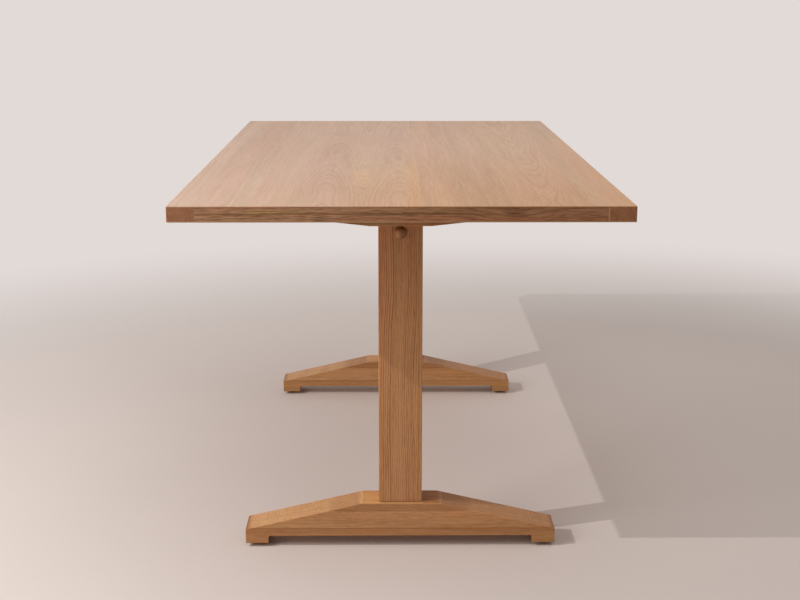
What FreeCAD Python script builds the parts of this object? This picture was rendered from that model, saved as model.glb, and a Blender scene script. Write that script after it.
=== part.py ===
import FreeCAD, Part
import math
import os

# Trestle dining table in oak, in millimetres.
# +Z is up, X runs across the table, Y runs along it. The front end is at -Y and left is -X.
# The origin is on the floor, under the middle of the top.

os.makedirs("parts", exist_ok=True)

Vector = FreeCAD.Vector
UP = Vector(0, 0, 1)
INWARD = Vector(0, 1, 0)

# Overall sizes
TABLE_LENGTH = 1500.0
TABLE_WIDTH = 810.0
TABLE_HEIGHT = 712.0

# Tabletop: core and lippings between a face of five leaves and a backing leaf
TOP_THICKNESS = 28.0
VENEER_THICKNESS = 2.0
LIPPING_WIDTH = 48.0
LEAF_SEAMS_X = [-262.0, 36.5, 193.5, 337.0]
TOP_CORNER_RADIUS = 2.0
TOP_ARRIS_RADIUS = 1.0

# Trestles
TRESTLE_CENTRE_Y = 513.0
TRESTLE_DEPTH = 70.0
WOOD_ARRIS_RADIUS = 1.5
WOOD_RIM_RADIUS = 1.2
BEND_RADIUS = 14.0

# Foot: flat in the middle, sloping to the ends, relieved underneath between two pads
FOOT_HALF_LENGTH = 305.0
FOOT_FLAT_HALF_LENGTH = 73.5
FOOT_TOP_Z = 91.0
FOOT_END_TOP_Z = 37.5
FOOT_RELIEF_Z = 23.0
FOOT_PAD_Z = 8.0
FOOT_PAD_LENGTH = 45.0
FOOT_RELIEF_CORNER_RADIUS = 4.0
FOOT_GLUE_LINE_Z = 38.5

# Bearer: the foot's counterpart under the top, gently tapered to its ends
BEARER_HALF_LENGTH = 305.0
BEARER_FLAT_HALF_LENGTH = 58.0
BEARER_BOTTOM_Z = 642.0
BEARER_END_BOTTOM_Z = 669.0

# Post with a tenon at each end
POST_WIDTH = 84.0
POST_DEPTH = 55.0
POST_ARRIS_RADIUS = 2.0
TENON_WIDTH = 56.0
TENON_THICKNESS = 22.0
FOOT_TENON_LENGTH = 40.0
BEARER_TENON_LENGTH = 28.0

# Stretcher rail between the posts
RAIL_THICKNESS = 30.0
RAIL_TOP_Z = 640.0
RAIL_BOTTOM_Z = 580.0
RAIL_ARRIS_RADIUS = 2.0

# Bolt and barrel nut at each end of the rail, with a dowel below them
RAIL_BOLT_Z = 629.0
RAIL_BOLT_RADIUS = 4.0
RAIL_BOLT_HOLE_RADIUS = 4.5
RAIL_BOLT_REACH = 44.0
RAIL_BOLT_HOLE_REACH = 46.0
RAIL_BOLT_HEAD_RADIUS = 6.5
RAIL_BOLT_HEAD_LENGTH = 8.0
RAIL_BOLT_SOCKET_FLATS = 6.0
RAIL_BOLT_SOCKET_DEPTH = 4.0
COUNTERBORE_RADIUS = 10.0
COUNTERBORE_DEPTH = 18.0
RAIL_WASHER_RADIUS = 9.5
WASHER_THICKNESS = 1.6
WASHER_HOLE_GAP = 0.2
BARREL_NUT_RADIUS = 7.0
BARREL_NUT_LENGTH = 24.0
BARREL_NUT_INSET = 35.0
BARREL_NUT_SLOT_WIDTH = 2.0
BARREL_NUT_SLOT_DEPTH = 2.5
RAIL_DOWEL_Z = 597.0
RAIL_DOWEL_RADIUS = 5.0
RAIL_DOWEL_LENGTH = 40.0
DOWEL_CHAMFER = 1.0

# Domed cap over each rail bolt
CAP_RADIUS = 11.8
CAP_RIM_HEIGHT = 1.0
CAP_DOME_HEIGHT = 9.0
CAP_STEM_LENGTH = 7.6

# Screws that hold the top on the bearers, in slots that let the top move across its width
SCREW_X = [-240.0, -110.0, 110.0, 240.0]
SCREW_RADIUS = 3.0
SCREW_LENGTH = 25.0
SCREW_HEAD_RADIUS = 5.5
SCREW_HEAD_HEIGHT = 3.5
SCREW_SOCKET_FLATS = 4.0
SCREW_SOCKET_DEPTH = 2.0
SCREW_WASHER_RADIUS = 9.0
SCREW_SEAT_DEPTH = 12.0
SCREW_RECESS_RADIUS = 10.0
SCREW_SLOT_WIDTH = 7.0
SCREW_SLOT_LENGTH = 11.0
TOP_INSERT_RADIUS = 4.75
TOP_INSERT_LENGTH = 13.0

# Levelling glides: a base on the floor, and a stud that turns in the base and screws into the foot
GLIDE_X = FOOT_HALF_LENGTH - FOOT_PAD_LENGTH / 2
GLIDE_BASE_RADIUS = 14.0
GLIDE_BASE_TOP_RADIUS = 12.5
GLIDE_BASE_HEIGHT = 4.2
GLIDE_BASE_RIM_HEIGHT = 2.6
GLIDE_BASE_ARRIS = 0.8
GLIDE_SOCKET_FLOOR_Z = 1.4
GLIDE_COLLAR_RADIUS = 6.0
GLIDE_COLLAR_BOTTOM_Z = 1.45
GLIDE_RUNNING_GAP = 0.08
GLIDE_HEX_FLATS = 13.0
GLIDE_HEX_BOTTOM_Z = 4.3
GLIDE_HEX_TOP_Z = 7.2
GLIDE_STUD_RADIUS = 4.0
GLIDE_STUD_TOP_Z = 30.0
GLIDE_STUD_CHAMFER = 0.8
GLIDE_INSERT_RADIUS = 6.0
GLIDE_INSERT_TOP_Z = 26.0
GLIDE_FLANGE_RADIUS = 10.0
GLIDE_FLANGE_THICKNESS = 1.5
GLIDE_HOLE_RADIUS = 4.6
GLIDE_HOLE_TOP_Z = 32.0

# Places that follow from the sizes above
HALF_WIDTH = TABLE_WIDTH / 2
HALF_LENGTH = TABLE_LENGTH / 2
TOP_UNDERSIDE_Z = TABLE_HEIGHT - TOP_THICKNESS
CORE_BOTTOM_Z = TOP_UNDERSIDE_Z + VENEER_THICKNESS
CORE_TOP_Z = TABLE_HEIGHT - VENEER_THICKNESS
CORE_HALF_WIDTH = HALF_WIDTH - LIPPING_WIDTH
CORE_HALF_LENGTH = HALF_LENGTH - LIPPING_WIDTH
INSERT_TOP_Z = TOP_UNDERSIDE_Z + TOP_INSERT_LENGTH
SCREW_SEAT_Z = TOP_UNDERSIDE_Z - SCREW_SEAT_DEPTH
SCREW_PLACES = [(x, y) for y in (-TRESTLE_CENTRE_Y, TRESTLE_CENTRE_Y) for x in SCREW_X]
GLIDE_FLANGE_TOP_Z = FOOT_PAD_Z + GLIDE_FLANGE_THICKNESS

# The front trestle's places along Y, and the bolt's axis through its post
FRONT_Y = -TRESTLE_CENTRE_Y
OUTER_FACE_Y = FRONT_Y - TRESTLE_DEPTH / 2
INNER_FACE_Y = FRONT_Y + TRESTLE_DEPTH / 2
POST_OUTER_Y = FRONT_Y - POST_DEPTH / 2
POST_INNER_Y = FRONT_Y + POST_DEPTH / 2
BOLT_FACE = Vector(0, POST_OUTER_Y, RAIL_BOLT_Z)
BOLT_SEAT = BOLT_FACE + INWARD * COUNTERBORE_DEPTH
RAIL_END = Vector(0, POST_INNER_Y, RAIL_BOLT_Z)
BOLT_TIP = RAIL_END + INWARD * RAIL_BOLT_REACH
NUT_MIDDLE = RAIL_END + INWARD * BARREL_NUT_INSET
DOWEL_MIDDLE = Vector(0, POST_INNER_Y, RAIL_DOWEL_Z)

MARGIN = 10.0
NEAR = 0.1


def save(shape, name):
    """Write one named piece."""
    shape.exportStep("parts/" + name + ".step")


def block(x0, x1, y0, y1, z0, z1):
    """A box between two corners."""
    return Part.makeBox(x1 - x0, y1 - y0, z1 - z0, Vector(x0, y0, z0))


def rod(radius, start, end):
    """A cylinder from one point to another."""
    axis = end - start
    return Part.makeCylinder(radius, axis.Length, start, axis)


def upright(radius, x, y, z0, z1):
    """A vertical cylinder."""
    return rod(radius, Vector(x, y, z0), Vector(x, y, z1))


def hexagon_prism(flats, start, end):
    """A hexagonal bar from one point to another, measured across its flats."""
    axis = end - start
    corner_radius = flats / math.sqrt(3.0)
    angles = [math.radians(60.0 * i) for i in range(7)]
    corners = [Vector(corner_radius * math.cos(a), corner_radius * math.sin(a), 0) for a in angles]
    prism = Part.Face(Part.makePolygon(corners)).extrude(UP * axis.Length)
    prism.Placement = FreeCAD.Placement(start, FreeCAD.Rotation(UP, axis))
    return prism


def turned(profile, x, y):
    """A solid of revolution about a vertical axis. The profile lists (radius, height) pairs."""
    points = [Vector(radius, 0, z) for radius, z in profile]
    points.append(points[0])
    solid = Part.Face(Part.makePolygon(points)).revolve(Vector(0, 0, 0), UP, 360)
    solid.translate(Vector(x, y, 0))
    return solid


def trestle_member(right_half):
    """A symmetric solid as deep as the trestle. Its right half's outline lists (x, z) pairs."""
    left_half = [(-x, z) for x, z in reversed(right_half)]
    points = [Vector(x, OUTER_FACE_Y, z) for x, z in right_half + left_half]
    points.append(points[0])
    return Part.Face(Part.makePolygon(points)).extrude(INWARD * TRESTLE_DEPTH)


def round_edges(shape, radius, direction, at_heights=None):
    """Round the straight edges that run in one direction, or only those of them at some heights."""
    chosen = []
    for edge in shape.Edges:
        if not isinstance(edge.Curve, Part.Line):
            continue
        first, last = edge.Vertexes[0].Point, edge.Vertexes[-1].Point
        parallel = (last - first).cross(direction).Length < NEAR
        height = (first.z + last.z) / 2
        if parallel and (at_heights is None or any(abs(height - z) < NEAR for z in at_heights)):
            chosen.append(edge)
    return shape.makeFillet(radius, chosen)


def round_rims(member):
    """Round the outlines of a trestle member's two side faces, leaving what touches the top sharp."""
    chosen = []
    for edge in member.Edges:
        box = edge.BoundBox
        flat_to_side = box.YLength < NEAR and abs(abs(box.YMin - FRONT_Y) - TRESTLE_DEPTH / 2) < NEAR
        if flat_to_side and box.ZMin < TOP_UNDERSIDE_Z - NEAR:
            chosen.append(edge)
    return member.makeFillet(WOOD_RIM_RADIUS, chosen)


def at_other_end(shape):
    """The same piece turned half round to the other end of the table."""
    copy = shape.copy()
    copy.rotate(Vector(0, 0, 0), UP, 180)
    return copy


def save_at_both_ends(shape, name):
    save(shape, "front_" + name)
    save(at_other_end(shape), "back_" + name)


def save_group(solids, name):
    """Separate solids of one kind share one name."""
    save(Part.makeCompound(solids), name)


def make_top_slab():
    """The whole top, with its corners and arrises eased, before it is divided into its pieces."""
    slab = block(-HALF_WIDTH, HALF_WIDTH, -HALF_LENGTH, HALF_LENGTH, TOP_UNDERSIDE_Z, TABLE_HEIGHT)
    slab = round_edges(slab, TOP_CORNER_RADIUS, UP)
    rims = [edge for edge in slab.Edges if edge.BoundBox.ZLength < NEAR]
    return slab.makeFillet(TOP_ARRIS_RADIUS, rims)


def make_tabletop():
    slab = make_top_slab()

    leaf_limits = [-HALF_WIDTH] + LEAF_SEAMS_X + [HALF_WIDTH]
    for number, (left, right) in enumerate(zip(leaf_limits, leaf_limits[1:]), start=1):
        leaf = slab.common(block(left, right, -HALF_LENGTH, HALF_LENGTH, CORE_TOP_Z, TABLE_HEIGHT))
        save(leaf, "top_face_leaf_" + str(number))

    long_lipping = slab.common(block(
        -HALF_WIDTH, -CORE_HALF_WIDTH, -HALF_LENGTH, HALF_LENGTH, CORE_BOTTOM_Z, CORE_TOP_Z))
    end_lipping = slab.common(block(
        -CORE_HALF_WIDTH, CORE_HALF_WIDTH, -HALF_LENGTH, -CORE_HALF_LENGTH, CORE_BOTTOM_Z, CORE_TOP_Z))
    save(long_lipping, "top_long_lipping_left")
    save(at_other_end(long_lipping), "top_long_lipping_right")
    save(end_lipping, "top_end_lipping_front")
    save(at_other_end(end_lipping), "top_end_lipping_back")

    core = block(
        -CORE_HALF_WIDTH, CORE_HALF_WIDTH, -CORE_HALF_LENGTH, CORE_HALF_LENGTH, CORE_BOTTOM_Z, CORE_TOP_Z)
    backing = slab.common(block(
        -HALF_WIDTH, HALF_WIDTH, -HALF_LENGTH, HALF_LENGTH, TOP_UNDERSIDE_Z, CORE_BOTTOM_Z))
    for x, y in SCREW_PLACES:
        insert_hole = upright(TOP_INSERT_RADIUS, x, y, TOP_UNDERSIDE_Z, INSERT_TOP_Z)
        core = core.cut(insert_hole)
        backing = backing.cut(insert_hole)
    save(core, "top_core_panel")
    save(backing, "top_backing_veneer")


def make_top_fixings():
    """Threaded inserts in the top, and the washers and screws that come up through the bearers."""
    washer_z = SCREW_SEAT_Z - WASHER_THICKNESS
    head_z = washer_z - SCREW_HEAD_HEIGHT
    inserts, washers, screws = [], [], []
    for x, y in SCREW_PLACES:
        insert = upright(TOP_INSERT_RADIUS, x, y, TOP_UNDERSIDE_Z, INSERT_TOP_Z)
        inserts.append(insert.cut(upright(SCREW_RADIUS, x, y, TOP_UNDERSIDE_Z, INSERT_TOP_Z)))

        washer = upright(SCREW_WASHER_RADIUS, x, y, washer_z, SCREW_SEAT_Z)
        washers.append(washer.cut(upright(SCREW_RADIUS + WASHER_HOLE_GAP, x, y, washer_z, SCREW_SEAT_Z)))

        head = upright(SCREW_HEAD_RADIUS, x, y, head_z, washer_z)
        shank = upright(SCREW_RADIUS, x, y, washer_z, washer_z + SCREW_LENGTH)
        head_bottom = Vector(x, y, head_z)
        socket = hexagon_prism(SCREW_SOCKET_FLATS, head_bottom, head_bottom + UP * SCREW_SOCKET_DEPTH)
        screws.append(head.fuse(shank).cut(socket))
    save_group(inserts, "top_inserts")
    save_group(washers, "bearer_screw_washers")
    save_group(screws, "bearer_screws")


def make_tenons():
    """The foot's tenon and the bearer's. They are also the shapes of the mortises."""
    half_width = TENON_WIDTH / 2
    outer_y = FRONT_Y - TENON_THICKNESS / 2
    inner_y = FRONT_Y + TENON_THICKNESS / 2
    foot_tenon = block(
        -half_width, half_width, outer_y, inner_y, FOOT_TOP_Z - FOOT_TENON_LENGTH, FOOT_TOP_Z)
    bearer_tenon = block(
        -half_width, half_width, outer_y, inner_y, BEARER_BOTTOM_Z, BEARER_BOTTOM_Z + BEARER_TENON_LENGTH)
    return foot_tenon, bearer_tenon


def make_foot(tenon):
    """The foot is glued up from a lower board and an upper block, shaped as one and then drilled."""
    pad_inner_x = FOOT_HALF_LENGTH - FOOT_PAD_LENGTH
    foot = trestle_member([
        (pad_inner_x, FOOT_RELIEF_Z),
        (pad_inner_x, FOOT_PAD_Z),
        (FOOT_HALF_LENGTH, FOOT_PAD_Z),
        (FOOT_HALF_LENGTH, FOOT_END_TOP_Z),
        (FOOT_FLAT_HALF_LENGTH, FOOT_TOP_Z),
    ])
    foot = round_edges(foot, FOOT_RELIEF_CORNER_RADIUS, INWARD, [FOOT_RELIEF_Z])
    foot = round_edges(foot, BEND_RADIUS, INWARD, [FOOT_TOP_Z])
    foot = round_edges(foot, WOOD_ARRIS_RADIUS, INWARD, [FOOT_PAD_Z, FOOT_END_TOP_Z])
    foot = round_rims(foot).cut(tenon)
    for x in (-GLIDE_X, GLIDE_X):
        foot = foot.cut([
            upright(GLIDE_FLANGE_RADIUS, x, FRONT_Y, FOOT_PAD_Z, GLIDE_FLANGE_TOP_Z),
            upright(GLIDE_INSERT_RADIUS, x, FRONT_Y, FOOT_PAD_Z, GLIDE_INSERT_TOP_Z),
            upright(GLIDE_HOLE_RADIUS, x, FRONT_Y, GLIDE_INSERT_TOP_Z, GLIDE_HOLE_TOP_Z),
        ])

    reach_x = FOOT_HALF_LENGTH + MARGIN
    below = block(-reach_x, reach_x, OUTER_FACE_Y - MARGIN, INNER_FACE_Y + MARGIN, 0, FOOT_GLUE_LINE_Z)
    save_at_both_ends(foot.common(below), "foot_lower_board")
    save_at_both_ends(foot.cut(below), "foot_upper_block")


def make_bearer(tenon):
    bearer = trestle_member([
        (BEARER_FLAT_HALF_LENGTH, BEARER_BOTTOM_Z),
        (BEARER_HALF_LENGTH, BEARER_END_BOTTOM_Z),
        (BEARER_HALF_LENGTH, TOP_UNDERSIDE_Z),
    ])
    bearer = round_edges(bearer, BEND_RADIUS, INWARD, [BEARER_BOTTOM_Z])
    bearer = round_edges(bearer, WOOD_ARRIS_RADIUS, INWARD, [BEARER_END_BOTTOM_Z])
    bearer = round_rims(bearer).cut(tenon)
    slot_run = (SCREW_SLOT_LENGTH - SCREW_SLOT_WIDTH) / 2
    half_slot = SCREW_SLOT_WIDTH / 2
    for x in SCREW_X:
        recess = upright(SCREW_RECESS_RADIUS, x, FRONT_Y, BEARER_BOTTOM_Z - MARGIN, SCREW_SEAT_Z)
        slot_middle = block(
            x - slot_run, x + slot_run, FRONT_Y - half_slot, FRONT_Y + half_slot,
            SCREW_SEAT_Z, TOP_UNDERSIDE_Z)
        slot_ends = [
            upright(half_slot, end_x, FRONT_Y, SCREW_SEAT_Z, TOP_UNDERSIDE_Z)
            for end_x in (x - slot_run, x + slot_run)]
        bearer = bearer.cut([recess, slot_middle] + slot_ends)
    save_at_both_ends(bearer, "bearer")


def make_post(foot_tenon, bearer_tenon):
    post = block(-POST_WIDTH / 2, POST_WIDTH / 2, POST_OUTER_Y, POST_INNER_Y, FOOT_TOP_Z, BEARER_BOTTOM_Z)
    post = round_edges(post, POST_ARRIS_RADIUS, UP)
    post = post.fuse([foot_tenon, bearer_tenon])
    post = post.cut([
        rod(COUNTERBORE_RADIUS, BOLT_FACE, BOLT_SEAT),
        rod(RAIL_BOLT_HOLE_RADIUS, BOLT_SEAT, RAIL_END),
        rod(RAIL_DOWEL_RADIUS, DOWEL_MIDDLE - INWARD * (RAIL_DOWEL_LENGTH / 2), DOWEL_MIDDLE),
    ])
    save_at_both_ends(post, "post")


def make_bolt_cap():
    """A turned button: a stem in the counterbore, and a domed head that lies on the post."""
    sphere_radius = (CAP_RADIUS ** 2 + CAP_DOME_HEIGHT ** 2) / (2 * CAP_DOME_HEIGHT)
    rim_end = BOLT_FACE - INWARD * CAP_RIM_HEIGHT
    dome_tip = rim_end - INWARD * CAP_DOME_HEIGHT
    sphere = Part.makeSphere(sphere_radius, dome_tip + INWARD * sphere_radius)
    dome = sphere.common(rod(CAP_RADIUS + 1, rim_end, dome_tip - INWARD))
    rim = rod(CAP_RADIUS, BOLT_FACE, rim_end)
    stem = rod(COUNTERBORE_RADIUS, BOLT_FACE, BOLT_FACE + INWARD * CAP_STEM_LENGTH)
    save_at_both_ends(stem.fuse([rim, dome]).removeSplitter(), "bolt_cap")


def make_rail_fixings():
    washer_front = BOLT_SEAT - INWARD * WASHER_THICKNESS
    washer = rod(RAIL_WASHER_RADIUS, washer_front, BOLT_SEAT)
    washer = washer.cut(rod(RAIL_BOLT_RADIUS + WASHER_HOLE_GAP, washer_front, BOLT_SEAT))

    head_front = washer_front - INWARD * RAIL_BOLT_HEAD_LENGTH
    head = rod(RAIL_BOLT_HEAD_RADIUS, head_front, washer_front)
    socket = hexagon_prism(
        RAIL_BOLT_SOCKET_FLATS, head_front, head_front + INWARD * RAIL_BOLT_SOCKET_DEPTH)
    bolt = head.fuse(rod(RAIL_BOLT_RADIUS, washer_front, BOLT_TIP)).cut(socket)

    nut_half = Vector(BARREL_NUT_LENGTH / 2, 0, 0)
    nut_side = INWARD * (BARREL_NUT_RADIUS + 1)
    nut = rod(BARREL_NUT_RADIUS, NUT_MIDDLE - nut_half, NUT_MIDDLE + nut_half)
    thread = rod(RAIL_BOLT_RADIUS, NUT_MIDDLE - nut_side, NUT_MIDDLE + nut_side)
    nut_end_x = -BARREL_NUT_LENGTH / 2
    half_slot = BARREL_NUT_SLOT_WIDTH / 2
    slot = block(
        nut_end_x, nut_end_x + BARREL_NUT_SLOT_DEPTH,
        NUT_MIDDLE.y - BARREL_NUT_RADIUS, NUT_MIDDLE.y + BARREL_NUT_RADIUS,
        RAIL_BOLT_Z - half_slot, RAIL_BOLT_Z + half_slot)
    nut = nut.cut([thread, slot])

    dowel_half = INWARD * (RAIL_DOWEL_LENGTH / 2)
    dowel = rod(RAIL_DOWEL_RADIUS, DOWEL_MIDDLE - dowel_half, DOWEL_MIDDLE + dowel_half)
    dowel_rims = [edge for edge in dowel.Edges if isinstance(edge.Curve, Part.Circle)]
    dowel = dowel.makeChamfer(DOWEL_CHAMFER, dowel_rims)

    for solid, name in (
            (washer, "rail_bolt_washers"),
            (bolt, "rail_bolts"),
            (nut, "rail_barrel_nuts"),
            (dowel, "rail_dowels")):
        save_group([solid, at_other_end(solid)], name)


def make_rail():
    rail = block(
        -RAIL_THICKNESS / 2, RAIL_THICKNESS / 2, POST_INNER_Y, -POST_INNER_Y, RAIL_BOTTOM_Z, RAIL_TOP_Z)
    rail = round_edges(rail, RAIL_ARRIS_RADIUS, INWARD)
    nut_mouth = Vector(-RAIL_THICKNESS / 2 - 1, NUT_MIDDLE.y, RAIL_BOLT_Z)
    nut_inner_end = NUT_MIDDLE + Vector(BARREL_NUT_LENGTH / 2, 0, 0)
    holes = [
        rod(RAIL_BOLT_HOLE_RADIUS, RAIL_END, RAIL_END + INWARD * RAIL_BOLT_HOLE_REACH),
        rod(BARREL_NUT_RADIUS, nut_mouth, nut_inner_end),
        rod(RAIL_DOWEL_RADIUS, DOWEL_MIDDLE, DOWEL_MIDDLE + INWARD * (RAIL_DOWEL_LENGTH / 2)),
    ]
    rail = rail.cut(holes + [at_other_end(hole) for hole in holes])
    save(rail, "stretcher_rail")


def make_glide_insert(x, y):
    """A flanged, threaded sleeve in the foot. The flange is let in flush with the pad."""
    sleeve = upright(GLIDE_INSERT_RADIUS, x, y, FOOT_PAD_Z, GLIDE_INSERT_TOP_Z)
    flange = upright(GLIDE_FLANGE_RADIUS, x, y, FOOT_PAD_Z, GLIDE_FLANGE_TOP_Z)
    thread = upright(GLIDE_STUD_RADIUS + GLIDE_RUNNING_GAP, x, y, FOOT_PAD_Z, GLIDE_INSERT_TOP_Z)
    return sleeve.fuse(flange).cut(thread).removeSplitter()


def make_glide_base(x, y):
    """A moulded disc with a socket for the stud's collar."""
    socket_radius = GLIDE_COLLAR_RADIUS + GLIDE_RUNNING_GAP
    return turned([
        (0, 0),
        (GLIDE_BASE_RADIUS - GLIDE_BASE_ARRIS, 0),
        (GLIDE_BASE_RADIUS, GLIDE_BASE_ARRIS),
        (GLIDE_BASE_RADIUS, GLIDE_BASE_RIM_HEIGHT),
        (GLIDE_BASE_TOP_RADIUS, GLIDE_BASE_HEIGHT),
        (socket_radius, GLIDE_BASE_HEIGHT),
        (socket_radius, GLIDE_SOCKET_FLOOR_Z),
        (0, GLIDE_SOCKET_FLOOR_Z),
    ], x, y)


def make_glide_stud(x, y):
    """A collar that turns in the base, a hexagon for the spanner, and the threaded shank."""
    collar = upright(GLIDE_COLLAR_RADIUS, x, y, GLIDE_COLLAR_BOTTOM_Z, GLIDE_HEX_BOTTOM_Z)
    hexagon = hexagon_prism(
        GLIDE_HEX_FLATS, Vector(x, y, GLIDE_HEX_BOTTOM_Z), Vector(x, y, GLIDE_HEX_TOP_Z))
    shank = turned([
        (0, GLIDE_HEX_TOP_Z),
        (GLIDE_STUD_RADIUS, GLIDE_HEX_TOP_Z),
        (GLIDE_STUD_RADIUS, GLIDE_STUD_TOP_Z - GLIDE_STUD_CHAMFER),
        (GLIDE_STUD_RADIUS - GLIDE_STUD_CHAMFER, GLIDE_STUD_TOP_Z),
        (0, GLIDE_STUD_TOP_Z),
    ], x, y)
    return collar.fuse([hexagon, shank])


def make_glides():
    inserts = []
    for end_name, y in (("front", FRONT_Y), ("back", -FRONT_Y)):
        for side_name, x in (("left", -GLIDE_X), ("right", GLIDE_X)):
            inserts.append(make_glide_insert(x, y))
            save(make_glide_base(x, y), "glide_base_" + end_name + "_" + side_name)
            save(make_glide_stud(x, y), "glide_stud_" + end_name + "_" + side_name)
    save_group(inserts, "glide_inserts")


make_tabletop()
make_top_fixings()
foot_tenon, bearer_tenon = make_tenons()
make_foot(foot_tenon)
make_bearer(bearer_tenon)
make_post(foot_tenon, bearer_tenon)
make_bolt_cap()
make_rail()
make_rail_fixings()
make_glides()
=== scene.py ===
import math
from dataclasses import dataclass, field

import bmesh
import bpy
from mathutils import Matrix, Vector


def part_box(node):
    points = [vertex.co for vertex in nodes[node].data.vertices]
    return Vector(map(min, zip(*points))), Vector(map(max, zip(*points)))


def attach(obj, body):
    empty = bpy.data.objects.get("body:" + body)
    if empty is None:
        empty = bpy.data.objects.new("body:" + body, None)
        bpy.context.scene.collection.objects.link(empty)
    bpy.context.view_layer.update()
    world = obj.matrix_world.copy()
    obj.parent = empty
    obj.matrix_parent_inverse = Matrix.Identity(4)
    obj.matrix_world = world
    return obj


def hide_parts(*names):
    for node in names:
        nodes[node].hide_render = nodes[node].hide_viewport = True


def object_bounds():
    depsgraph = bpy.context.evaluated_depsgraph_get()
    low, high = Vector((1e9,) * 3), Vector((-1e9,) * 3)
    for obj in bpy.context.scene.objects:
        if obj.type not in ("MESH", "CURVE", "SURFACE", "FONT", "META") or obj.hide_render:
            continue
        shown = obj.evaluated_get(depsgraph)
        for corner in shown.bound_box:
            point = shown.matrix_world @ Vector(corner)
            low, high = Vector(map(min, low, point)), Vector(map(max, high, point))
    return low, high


# The looks of a trestle dining table in oiled oak. Lengths are metres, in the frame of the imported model:
# X across the table, Y along it with the front end at -Y, and Z up from the floor.

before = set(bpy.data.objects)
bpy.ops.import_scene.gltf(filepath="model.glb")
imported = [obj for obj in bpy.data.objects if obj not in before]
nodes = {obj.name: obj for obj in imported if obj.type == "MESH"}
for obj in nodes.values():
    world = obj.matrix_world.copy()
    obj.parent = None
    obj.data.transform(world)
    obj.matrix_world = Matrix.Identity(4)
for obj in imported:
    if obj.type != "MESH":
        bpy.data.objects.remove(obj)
cad_low, cad_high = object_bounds()


# ---------------------------------------------------------------------------------------------
# Node trees written as arithmetic
# ---------------------------------------------------------------------------------------------

class Signal:
    """A number that flows through a node tree. Arithmetic on it adds Math nodes to the tree."""

    def __init__(self, tree, socket):
        self.tree = tree
        self.socket = socket

    def apply(self, operation, *others):
        return self.tree.math(operation, self, *others)

    def __add__(self, other):
        return self.apply("ADD", other)

    __radd__ = __add__

    def __sub__(self, other):
        return self.apply("SUBTRACT", other)

    def __mul__(self, other):
        return self.apply("MULTIPLY", other)

    __rmul__ = __mul__

    def __truediv__(self, other):
        return self.apply("DIVIDE", other)

    def absolute(self):
        return self.apply("ABSOLUTE")

    def ramp(self, start, end, low=0.0, high=1.0):
        """Goes smoothly from low to high as the number goes from start to end."""
        node = self.tree.add("ShaderNodeMapRange", interpolation_type="SMOOTHSTEP")
        for name, value in (("Value", self), ("From Min", start), ("From Max", end),
                            ("To Min", low), ("To Max", high)):
            self.tree.feed(node.inputs[name], value)
        return Signal(self.tree, node.outputs["Result"])

    def near(self, centre, half_width, softness):
        """1 within half_width of the centre, fading to 0 over softness."""
        distance = (self - centre).absolute()
        return distance.ramp(half_width, half_width + softness, 1.0, 0.0)


class Tree:
    """A node tree, with short ways to add nodes and to feed their inputs."""

    def __init__(self, node_tree):
        self.node_tree = node_tree

    def add(self, kind, **settings):
        node = self.node_tree.nodes.new(kind)
        for name, value in settings.items():
            setattr(node, name, value)
        return node

    def feed(self, socket, value):
        """Links a signal or a socket to an input, or sets the input to a plain value."""
        if isinstance(value, Signal):
            value = value.socket
        if isinstance(value, bpy.types.NodeSocket):
            self.node_tree.links.new(value, socket)
        elif hasattr(value, "__len__") and len(value) == 3 and socket.type == "RGBA":
            socket.default_value = (*value, 1.0)
        else:
            socket.default_value = value

    def math(self, operation, *values):
        node = self.add("ShaderNodeMath", operation=operation)
        for socket, value in zip(node.inputs, values):
            self.feed(socket, value)
        return Signal(self, node.outputs[0])

    def vector(self, x, y, z):
        node = self.add("ShaderNodeCombineXYZ")
        for socket, value in zip(node.inputs, (x, y, z)):
            self.feed(socket, value)
        return node.outputs[0]

    def components(self, vector):
        node = self.add("ShaderNodeSeparateXYZ")
        self.feed(node.inputs[0], vector)
        return [Signal(self, output) for output in node.outputs]

    def noise(self, x, y, z, scale, detail=2.0, roughness=0.5):
        """Smooth noise about 0, mostly within 0.25 either way."""
        node = self.add("ShaderNodeTexNoise")
        self.feed(node.inputs["Vector"], self.vector(x, y, z))
        node.inputs["Scale"].default_value = scale
        node.inputs["Detail"].default_value = detail
        node.inputs["Roughness"].default_value = roughness
        return Signal(self, node.outputs["Fac"]) - 0.5

    def random(self, number):
        """A value from 0 to 1 that depends on a number alone."""
        node = self.add("ShaderNodeTexWhiteNoise", noise_dimensions="1D")
        self.feed(node.inputs["W"], number)
        return Signal(self, node.outputs["Value"])

    def mix(self, share, first, second, blend="MIX"):
        """A colour between two others, or the second one blended over the first."""
        node = self.add("ShaderNodeMix", data_type="RGBA", blend_type=blend)
        for name, value in (("Factor_Float", share), ("A_Color", first), ("B_Color", second)):
            socket = next(s for s in node.inputs if s.identifier == name)
            self.feed(socket, value)
        return next(s for s in node.outputs if s.identifier == "Result_Color")

    def object_coordinates(self):
        return self.components(self.add("ShaderNodeTexCoord").outputs["Object"])

    def object_normal(self):
        return self.components(self.add("ShaderNodeTexCoord").outputs["Normal"])


def new_material(name):
    """An empty material and its node tree."""
    material = bpy.data.materials.new(name)
    material.use_nodes = True
    material.node_tree.nodes.clear()
    return material, Tree(material.node_tree)


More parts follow.
